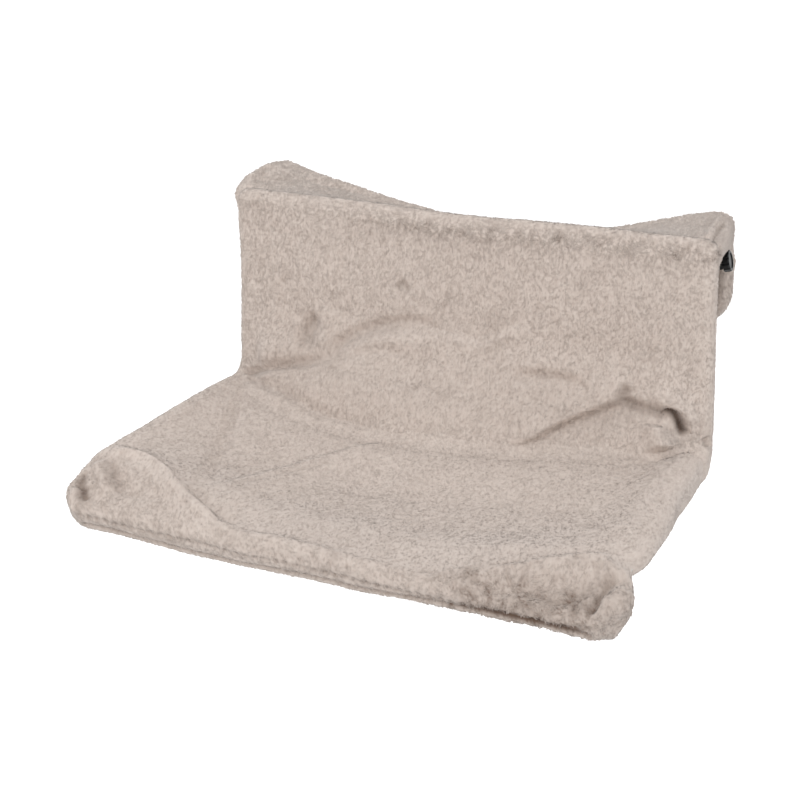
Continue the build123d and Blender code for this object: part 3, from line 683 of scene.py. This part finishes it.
topFolds = [
    foldLine([(267, 165), (262, 174), (262, 185)], -3.0, 4, fade=(0.1, 0.4), dark=0.12),
    foldLine([(254, 172), (249, 182), (247, 192)], 2.0, 5),
    foldLine([(300, 178), (340, 188), (375, 197)], -2.0, 6),
    foldLine([(708, 240), (713, 230), (721, 218)], 2.6, 3, far=2.4, fade=(0.1, 0.2)),
    foldLine([(713, 243), (718, 232), (725, 220)], -2.2, 2.4, fade=(0.1, 0.2), dark=0.15),
]
topPoints, topA, topV = topGrid(topCloth)
topPoints, topPaintedShade = folded(topPoints, topA, topV, topFolds)
topAlong = topV + topCloth["napShift"]
topRough = 0.6 - 0.45 * rise(topA, armX + 6, armX + 14) * (1 - rise(topV, 58, 70))
topNap = pile(topA, topAlong, coverNap, topRough)
# Painted shade from the top's folds and along its partings.
topPaintedLight = paintedLightShare(topNap, topPaintedShade + 0.12 * partings(topA, topAlong, 81))
topPoints += outward(topPoints) * topNap[..., None]
topPlush = newMesh("topPlush", topPoints, topA, topAlong, napPaintedLight=topPaintedLight)
print("top cloth made")


# Rear flap: a flat bag over the hook's legs and bottom rod

flap = {"half": 216.0, "thick": 8.2, "around": 620, "rows": 74, "bend": 30.0,
        "napShift": 900, "rough": 0.7, "shade": 0.7}


def flapGrid(look):
    # Level rings, long and flat with half round ends, that shrink towards the bottom rod.
    around = np.linspace(0, 1, look["around"], endpoint=False)
    turn, down = np.meshgrid(around, np.linspace(0, 1, look["rows"]))
    thick, half = look["thick"], look["half"]
    straight = 2 * (half - thick)
    endTurn = math.pi * thick
    d = turn * (2 * straight + 2 * endTurn)
    right = np.clip((d - straight) / thick, 0, math.pi)
    left = np.clip((d - 2 * straight - endTurn) / thick, 0, math.pi)
    x = -straight / 2 + np.clip(d, 0, straight) - np.clip(d - straight - endTurn, 0, straight)
    x += thick * (np.sin(right) - np.sin(left))
    y = -thick * (1 - (1 - np.cos(right)) + (1 - np.cos(left)))
    hem = armZ + table(x, *topCloth["hem"]) - 6
    low = hookLowZ - thick
    z = hem + (low - hem) * down
    close = np.sqrt(np.clip(1 - np.clip((low + thick - z) / thick, 0, 1) ** 2, 0, 1))
    corner = np.clip((low + look["bend"] - z) / look["bend"], 0, 1)
    narrow = look["bend"] * (1 - np.sqrt(np.clip(1 - corner ** 2, 0, 1)))
    x = x * (1 - narrow / half + 0.022 * rise(down, 0.15, 0.4))
    return np.stack([x, legY + y * np.maximum(close, 0.02), z], axis=-1), d, hem - z


flapPoints, flapD, flapV = flapGrid(flap)
flapAlong = flapV + flap["napShift"]
flapNap = pile(flapD, flapAlong, coverNap, flap["rough"])
flapPoints += outward(flapPoints, closed=True) * flapNap[..., None]
# Painted shade on the face towards the radiator, but for its right edge.
innerFace = flapD < 2 * (flap["half"] - flap["thick"])
shade = np.where(innerFace, flap["shade"] * (1 - rise(flapPoints[..., 0], 202, 216)), 0)
flapPaintedLight = paintedLightShare(flapNap, shade)
flapPlush = newMesh("flapPlush", flapPoints, flapD, flapAlong, closed=True, napPaintedLight=flapPaintedLight)
print("flap made")


# Hidden side of the cover: the lining against the radiator, the seat's underside, and the two
# closure strips between them

lining = {"half": 206.0, "columns": 180, "rows": 150, "lip": 52.0, "sag": 17.0, "hem": 30.0}
closure = {"from": 31.0, "to": 49.0, "thick": 1.1, "half": 188.0}


def seatPlace(along, above):
    # y and z of a place beside the rising side bar: along it from the seat corner, above its axis.
    return (frameY - along * math.cos(seatSlope) + above * math.sin(seatSlope),
            lowZ + along * math.sin(seatSlope) + above * math.cos(seatSlope))


def liningGrid(look):
    # Straight down behind the back, round the low bend, then forward under the side bars, wider
    # from the bend on.
    bend, depth = cover["lowBend"] + 7.6, 7.6
    start = topZ - 5
    turn = math.pi / 2 + seatSlope
    tangent = bend * math.tan(turn / 2)
    cornerAlong = -depth * math.tan(turn / 2)
    cornerY, cornerZ = seatPlace(cornerAlong, -depth)
    straight = start - cornerZ - tangent
    length = straight + bend * turn + look["lip"] - cornerAlong - tangent
    across = np.linspace(-look["half"], look["half"], look["columns"])
    x, d = np.meshgrid(across, np.linspace(0, length, look["rows"]))
    angle = np.clip((d - straight) / bend, 0, turn)
    beyond = np.maximum(d - straight - bend * turn, 0)
    y = cornerY - bend + bend * np.cos(angle) - beyond * math.cos(seatSlope)
    z = start - np.minimum(d, straight) - bend * np.sin(angle) + beyond * math.sin(seatSlope)
    z -= bow(x) * rise(angle, 0.2, 1.3)
    x = x * (1 + 0.045 * rise(angle, 0.1, 0.5))
    soft = 0.5 * ripple(x / 60, d / 60, 61) + 0.25 * ripple(x / 15, d / 15, 62)
    points = np.stack([x, np.minimum(y - 0.4 + soft * 0.4, -0.7), z - soft * (angle > 0.5)], axis=-1)
    return points[:, ::-1], x[:, ::-1], d


def undersideGrid(look):
    # Under the seat: a hem over the closure, then down to the side walls' height and on to the
    # front bar, sagging in the middle.
    x, share = np.meshgrid(np.linspace(-211, 211, look["columns"]), np.linspace(0, 1, look["rows"]))
    along = look["hem"] + share * (frontT - backDrop - look["hem"] - 1)
    edge = np.clip(np.abs(x) / 211, 0, 1)
    wall = cover["sideWall"] * (1 - rise(along, 70, 225))
    deep = cover["roll"] + 2.3 + (wall - 4.0) * rise(along, 54, 92)
    sag = look["sag"] * (1 - edge ** 2) * rise(along, 54, 110) * (1 - rise(along, 190, 284) * 0.75)
    y, z, ny, nz = frameLine(backDrop + along, 12.0)
    bump = 0.8 * ripple(x / 45, along / 45, 64) + 0.4 * ripple(x / 14, along / 14, 65)
    bump *= 0.1 + 0.9 * rise(along, 48, 64)
    bump += bow(x) * (1 - rise(along, 60, 110))
    off = deep + sag + bump * (1 - edge ** 8)
    return np.stack([x, y - off * ny, z - off * nz], axis=-1)[:, ::-1], x[:, ::-1], along


def stripPiece(name, above, seed):
    # A flat closed strip along the side bars' slope: an oval ring carried across the hammock.
    look = closure
    turn = np.linspace(0, 2 * np.pi, 48, endpoint=False)
    across, turn = np.meshgrid(np.linspace(-look["half"], look["half"], 220), turn)
    end = np.sqrt(np.clip(1 - (np.abs(across) / look["half"]) ** 60, 0, 1))
    middle, wide = (look["from"] + look["to"]) / 2, (look["to"] - look["from"]) / 2
    along = middle + wide * np.sign(np.cos(turn)) * np.abs(np.cos(turn)) ** 0.3
    high = look["thick"] / 2 * np.sign(np.sin(turn)) * np.abs(np.sin(turn)) ** 0.3 * end
    high += 0.12 * cells(across, along, 1.6, seed) * np.sign(high) * end
    y, z = seatPlace(along, above + high - bow(across))
    points = np.swapaxes(np.stack([across, y, z], axis=-1), 0, 1)[::-1]
    return newMesh(name, points, across.T[::-1], along.T[::-1], closed=True)


liningPoints, liningX, liningD = liningGrid(lining)
backLining = newMesh("backLining", liningPoints, liningX, liningD)
underPoints, underX, underS = undersideGrid(lining)
seatUnder = newMesh("seatUnder", underPoints, underX, underS + 300)
loopStrip = stripPiece("loopStrip", -8.9, 71)
hookStrip = stripPiece("hookStrip", -10.1, 72)
print("lining, underside and closure made")


# Tufts that stand out of the nap and break up its edges

tuftLooks = {
    "back": {"seed": 3, "count": 46000, "long": 2.8, "wide": 0.6, "lift": 0.3, "sink": 0.3, "comb": -1.8,
             "stray": 0.6},
    "seat": {"seed": 4, "count": 48000, "long": 2.5, "wide": 0.6, "lift": 0.22, "sink": 0.2, "comb": -1.4,
             "stray": 0.6},
    "top": {"seed": 5, "count": 26000, "long": 2.8, "wide": 0.6, "lift": 0.32, "sink": 0.3, "comb": -1.4,
             "stray": 0.6},
    "flap": {"seed": 6, "count": 30000, "long": 2.8, "wide": 0.6, "lift": 0.32, "sink": 0.3, "comb": -1.4,
             "stray": 0.6},
}
backTufts = tuftPiece("backTufts", coverPoints[backRows], coverNormals[backRows], coverA[backRows],
                      coverT[backRows], tuftLooks["back"], rough[backRows], coverPaintedLight[backRows])
seatTufts = tuftPiece("seatTufts", coverPoints[seatRows], coverNormals[seatRows], coverA[seatRows],
                      coverT[seatRows], tuftLooks["seat"], rough[seatRows], coverPaintedLight[seatRows])
topTufts = tuftPiece("topTufts", topPoints, outward(topPoints), topA, topAlong,
                     tuftLooks["top"], topRough, topPaintedLight)
flapTufts = tuftPiece("flapTufts", flapPoints, outward(flapPoints, closed=True), flapD, flapAlong,
                      tuftLooks["flap"], np.full(flapD.shape, flap["rough"]), flapPaintedLight)
print("tufts made")


# Materials

def coloured(r, g, b):
    # Screen colour, 0 to 255, as the linear one that a shader takes.
    linear = [c / 255 / 12.92 if c < 10.3 else ((c / 255 + 0.055) / 1.055) ** 2.4 for c in (r, g, b)]
    return (*linear, 1.0)


def grainGroup():
    # Mottling and fine relief for any finish. Colour = mix of two by coarse, middle and fine noise;
    # Value and Height come from the same noise, for roughness and bump.
    group = bpy.data.node_groups.new("grain", "ShaderNodeTree")
    for name, kind, value in (("Vector", "NodeSocketVector", None), ("Fine", "NodeSocketFloat", 60.0),
                              ("Middle", "NodeSocketFloat", 12.0), ("Coarse", "NodeSocketFloat", 1.6),
                              ("Contrast", "NodeSocketFloat", 1.0), ("Mottle", "NodeSocketFloat", 1.0),
                              ("Dark", "NodeSocketColor", None),
                              ("Light", "NodeSocketColor", None)):
        socket = group.interface.new_socket(name=name, in_out="INPUT", socket_type=kind)
        if value is not None:
            socket.default_value = value
    group.interface.new_socket(name="Color", in_out="OUTPUT", socket_type="NodeSocketColor")
    group.interface.new_socket(name="Value", in_out="OUTPUT", socket_type="NodeSocketFloat")
    group.interface.new_socket(name="Height", in_out="OUTPUT", socket_type="NodeSocketFloat")
    nodes, links = group.nodes, group.links
    put, out = nodes.new("NodeGroupInput"), nodes.new("NodeGroupOutput")
    noises = []
    for name, detail, bent in (("Fine", 3.0, 0.5), ("Middle", 3.0, 0.8), ("Coarse", 2.0, 0.3)):
        noise = nodes.new("ShaderNodeTexNoise")
        noise.inputs["Detail"].default_value = detail
        noise.inputs["Distortion"].default_value = bent
        links.new(put.outputs["Vector"], noise.inputs["Vector"])
        links.new(put.outputs[name], noise.inputs["Scale"])
        noises.append(noise)

    def maths(kind, a, b):
        node = nodes.new("ShaderNodeMath")
        node.operation = kind
        for socket, value in zip(node.inputs, (a, b)):
            if isinstance(value, (int, float)):
                socket.default_value = value
            else:
                links.new(value, socket)
        return node.outputs[0]

    fine, middle, coarse = (maths("SUBTRACT", noise.outputs[0], 0.5) for noise in noises)
    blotch = maths("MULTIPLY", maths("ADD", middle, coarse), put.outputs["Mottle"])
    total = maths("ADD", maths("MULTIPLY", fine, 1.6), blotch)
    value = maths("ADD", maths("MULTIPLY", total, put.outputs["Contrast"]), 0.5)
    mix = nodes.new("ShaderNodeMix")
    mix.data_type = "RGBA"
    links.new(value, mix.inputs["Factor"])
    links.new(put.outputs["Dark"], mix.inputs["A"])
    links.new(put.outputs["Light"], mix.inputs["B"])
    links.new(mix.outputs["Result"], out.inputs["Color"])
    links.new(value, out.inputs["Value"])
    links.new(maths("ADD", fine, maths("MULTIPLY", middle, 0.6)), out.inputs["Height"])
    return group


grain = grainGroup()


def finish(name, dark, light, fine, middle, coarse, contrast=1.0, rough=(0.5, 0.6), bump=(0.2, 0.0002),
           cloth=False, stretch=(1, 1, 1), mottle=1.0, paintedShadeColour=None, settings=None):
    # One finish: the grain in its two colours, its roughness span and its relief (strength, depth in
    # m). With a painted shade colour, the colour darkens towards it by the painted shade in the nap map.
    material = bpy.data.materials.new(name)
    material.use_nodes = True
    nodes, links = material.node_tree.nodes, material.node_tree.links
    shader = nodes["Principled BSDF"]
    for socket, value in (settings or {}).items():
        shader.inputs[socket].default_value = value
    if cloth:
        place = nodes.new("ShaderNodeUVMap")
        place.uv_map = "cloth"
        start = place.outputs["UV"]
    else:
        start = nodes.new("ShaderNodeTexCoord").outputs["Object"]
    mapping = nodes.new("ShaderNodeMapping")
    mapping.inputs["Scale"].default_value = stretch
    links.new(start, mapping.inputs["Vector"])
    group = nodes.new("ShaderNodeGroup")
    group.node_tree = grain
    links.new(mapping.outputs["Vector"], group.inputs["Vector"])
    for socket, value in (("Fine", fine), ("Middle", middle), ("Coarse", coarse), ("Contrast", contrast),
                          ("Mottle", mottle), ("Dark", coloured(*dark)), ("Light", coloured(*light))):
        group.inputs[socket].default_value = value
    colour = group.outputs["Color"]
    # Painted shade: the colour darkens towards the shade colour by the nap map's painted light share.
    if paintedShadeColour:
        nap = nodes.new("ShaderNodeUVMap")
        nap.uv_map = "nap"
        depth = nodes.new("ShaderNodeSeparateXYZ")
        links.new(nap.outputs["UV"], depth.inputs[0])
        mix = nodes.new("ShaderNodeMix")
        mix.data_type = "RGBA"
        mix.inputs["A"].default_value = coloured(*paintedShadeColour)
        links.new(depth.outputs[0], mix.inputs["Factor"])
        links.new(colour, mix.inputs["B"])
        colour = mix.outputs["Result"]
    links.new(colour, shader.inputs["Base Color"])
    spread = nodes.new("ShaderNodeMapRange")
    spread.inputs["To Min"].default_value, spread.inputs["To Max"].default_value = rough
    links.new(group.outputs["Value"], spread.inputs["Value"])
    links.new(spread.outputs["Result"], shader.inputs["Roughness"])
    relief = nodes.new("ShaderNodeBump")
    relief.inputs["Strength"].default_value, relief.inputs["Distance"].default_value = bump
    links.new(group.outputs["Height"], relief.inputs["Height"])
    links.new(relief.outputs["Normal"], shader.inputs["Normal"])
    return material


# The plush's painted shade darkens it towards brown (112, 92, 79).
plush = finish("plush", (202, 186, 176), (226, 215, 206), 52.0, 14.0, 1.7, 0.62, (0.9, 1.0),
               (0.6, 0.0007), cloth=True,
               stretch=(1, 0.45, 1), mottle=0.4, paintedShadeColour=(112, 92, 79),
               settings={"Sheen Weight": 0.25, "Sheen Roughness": 0.5, "Specular IOR Level": 0.15})
knit = finish("knit", (176, 160, 148), (200, 187, 177), 90.0, 26.0, 2.5, 0.8, (0.85, 0.95),
              (0.4, 0.0003), cloth=True,
              stretch=(1, 2.2, 1), settings={"Sheen Weight": 0.15, "Specular IOR Level": 0.2})
loopTape = finish("loopTape", (168, 150, 136), (198, 184, 172), 140.0, 40.0, 3.0, 1.2, (0.85, 0.95),
                  (0.7, 0.0004), cloth=True)
hookTape = finish("hookTape", (150, 134, 120), (184, 168, 154), 160.0, 60.0, 3.0, 1.2, (0.55, 0.75),
                  (0.8, 0.0004), cloth=True)
powder = finish("powderCoat", (196, 197, 193), (214, 214, 210), 1400.0, 420.0, 30.0, 0.7, (0.38, 0.5),
                (0.15, 0.00008))
drawn = finish("drawnSteel", (150, 151, 154), (190, 190, 192), 900.0, 300.0, 40.0, 0.8, (0.22, 0.4),
               (0.1, 0.00004),
               stretch=(1, 0.1, 1), settings={"Metallic": 1.0})
zinc = finish("brightZinc", (178, 180, 186), (214, 215, 217), 800.0, 260.0, 60.0, 0.8, (0.16, 0.34),
              (0.08, 0.00003),
              settings={"Metallic": 1.0})
brass = finish("turnedBrass", (180, 148, 84), (212, 182, 116), 900.0, 240.0, 60.0, 0.8, (0.2, 0.36),
               (0.1, 0.00004),
               settings={"Metallic": 1.0})
nylon = finish("blackNylon", (22, 22, 23), (38, 38, 39), 900.0, 260.0, 40.0, 0.8, (0.5, 0.66), (0.25, 0.0001))
gloss = finish("glossBlack", (10, 10, 11), (20, 20, 22), 500.0, 160.0, 30.0, 0.6, (0.3, 0.42),
               (0.05, 0.00003),
               settings={"Specular IOR Level": 0.3})
satin = finish("satinBlack", (18, 18, 19), (32, 32, 34), 1200.0, 380.0, 30.0, 0.7, (0.34, 0.48),
               (0.12, 0.00006))

for piece in (backPlush, seatPlush, topPlush, flapPlush, backTufts, seatTufts, topTufts, flapTufts):
    piece.data.materials.append(plush)
for piece, material in ((backLining, knit), (seatUnder, knit), (loopStrip, loopTape), (hookStrip, hookTape)):
    piece.data.materials.append(material)
hardware = {
    "frame_steel": powder, "spigot_steel": drawn, "screw_steel": zinc, "insert_brass": brass,
    "clamp_plastic": nylon, "knob_plastic": gloss, "hook_steel": satin,
}
for part in frame["record"]["subparts"]:
    if part["material_slot"] in hardware:
        for slot in frame["nodes"][part["node"]].material_slots:
            slot.material = hardware[part["material_slot"]]
print("materials made")


# Stage: floor, lamps and world

stage = {
    "floorZ": -0.62, "world": 0.8, "glow": 0.6, "lampSize": 1.6,
    "lamps": {"key": ((-0.9, -2.3, 1.25), 18.0), "fill": ((2.0, -1.2, 1.5), 10.0)},
}


def seenRay(nodes, links):
    # 1 for what the camera sees, straight or in metal and glass, and 0 for light on its way.
    path = nodes.new("ShaderNodeLightPath")
    seen = path.outputs["Is Camera Ray"]
    for name in ("Is Glossy Ray", "Is Transmission Ray"):
        either = nodes.new("ShaderNodeMath")
        either.operation = "MAXIMUM"
        links.new(seen, either.inputs[0])
        links.new(path.outputs[name], either.inputs[1])
        seen = either.outputs[0]
    return seen


def makeStage(look):
    bpy.ops.mesh.primitive_plane_add(size=60, location=(0, 0, look["floorZ"]))
    floor = bpy.context.object
    floor.name = "floor"
    material = bpy.data.materials.new("floor")
    material.use_nodes = True
    nodes, links = material.node_tree.nodes, material.node_tree.links
    shader = nodes["Principled BSDF"]
    shader.inputs["Base Color"].default_value = (0.8, 0.8, 0.8, 1)
    glow = nodes.new("ShaderNodeMath")
    glow.operation = "MULTIPLY"
    links.new(seenRay(nodes, links), glow.inputs[0])
    glow.inputs[1].default_value = look["glow"]
    shader.inputs["Emission Color"].default_value = (1, 1, 1, 1)
    links.new(glow.outputs[0], shader.inputs["Emission Strength"])
    floor.data.materials.append(material)
    world = bpy.data.worlds.new("studio")
    world.use_nodes = True
    nodes, links = world.node_tree.nodes, world.node_tree.links
    nodes["Background"].inputs["Color"].default_value = (1, 1, 1, 1)
    strength = nodes.new("ShaderNodeMapRange")
    strength.inputs["To Min"].default_value = look["world"]
    links.new(seenRay(nodes, links), strength.inputs["Value"])
    links.new(strength.outputs["Result"], nodes["Background"].inputs["Strength"])
    bpy.context.scene.world = world
    for name, (place, power) in look["lamps"].items():
        data = bpy.data.lights.new(name, "AREA")
        data.size, data.energy = look["lampSize"], power
        lamp = bpy.data.objects.new(name, data)
        bpy.context.scene.collection.objects.link(lamp)
        lamp.location = place
        lamp.rotation_mode = "QUATERNION"
        lamp.rotation_quaternion = (Vector((0, -0.1, -0.05)) - Vector(place)).to_track_quat("-Z", "Y")
    bpy.context.scene.view_settings.view_transform = "Standard"


makeStage(stage)

# What each piece rides on and replaces
for piece in (backPlush, seatPlush, backTufts, seatTufts, backLining, seatUnder, loopStrip, hookStrip):
    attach(piece, "frame")
for piece in (flapPlush, flapTufts):
    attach(piece, "hook")
for piece in (topPlush, topTufts):
    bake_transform(piece)
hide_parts("back_panel", "upright_roll_left", "upright_roll_right", "top_edge_roll")
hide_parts("seat_panel", "seat_side_roll_left", "seat_side_roll_right", "seat_front_roll")
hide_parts("top_panel", "arm_skirt_left", "arm_skirt_right", "flap_top_hem")
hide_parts("flap_side_roll_left", "flap_side_roll_right", "flap_bottom_roll", "flap_inner_layer",
            "flap_outer_layer")
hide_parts("back_lining")
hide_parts("seat_underside")
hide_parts("closure_loop_strip")
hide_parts("closure_hook_strip")
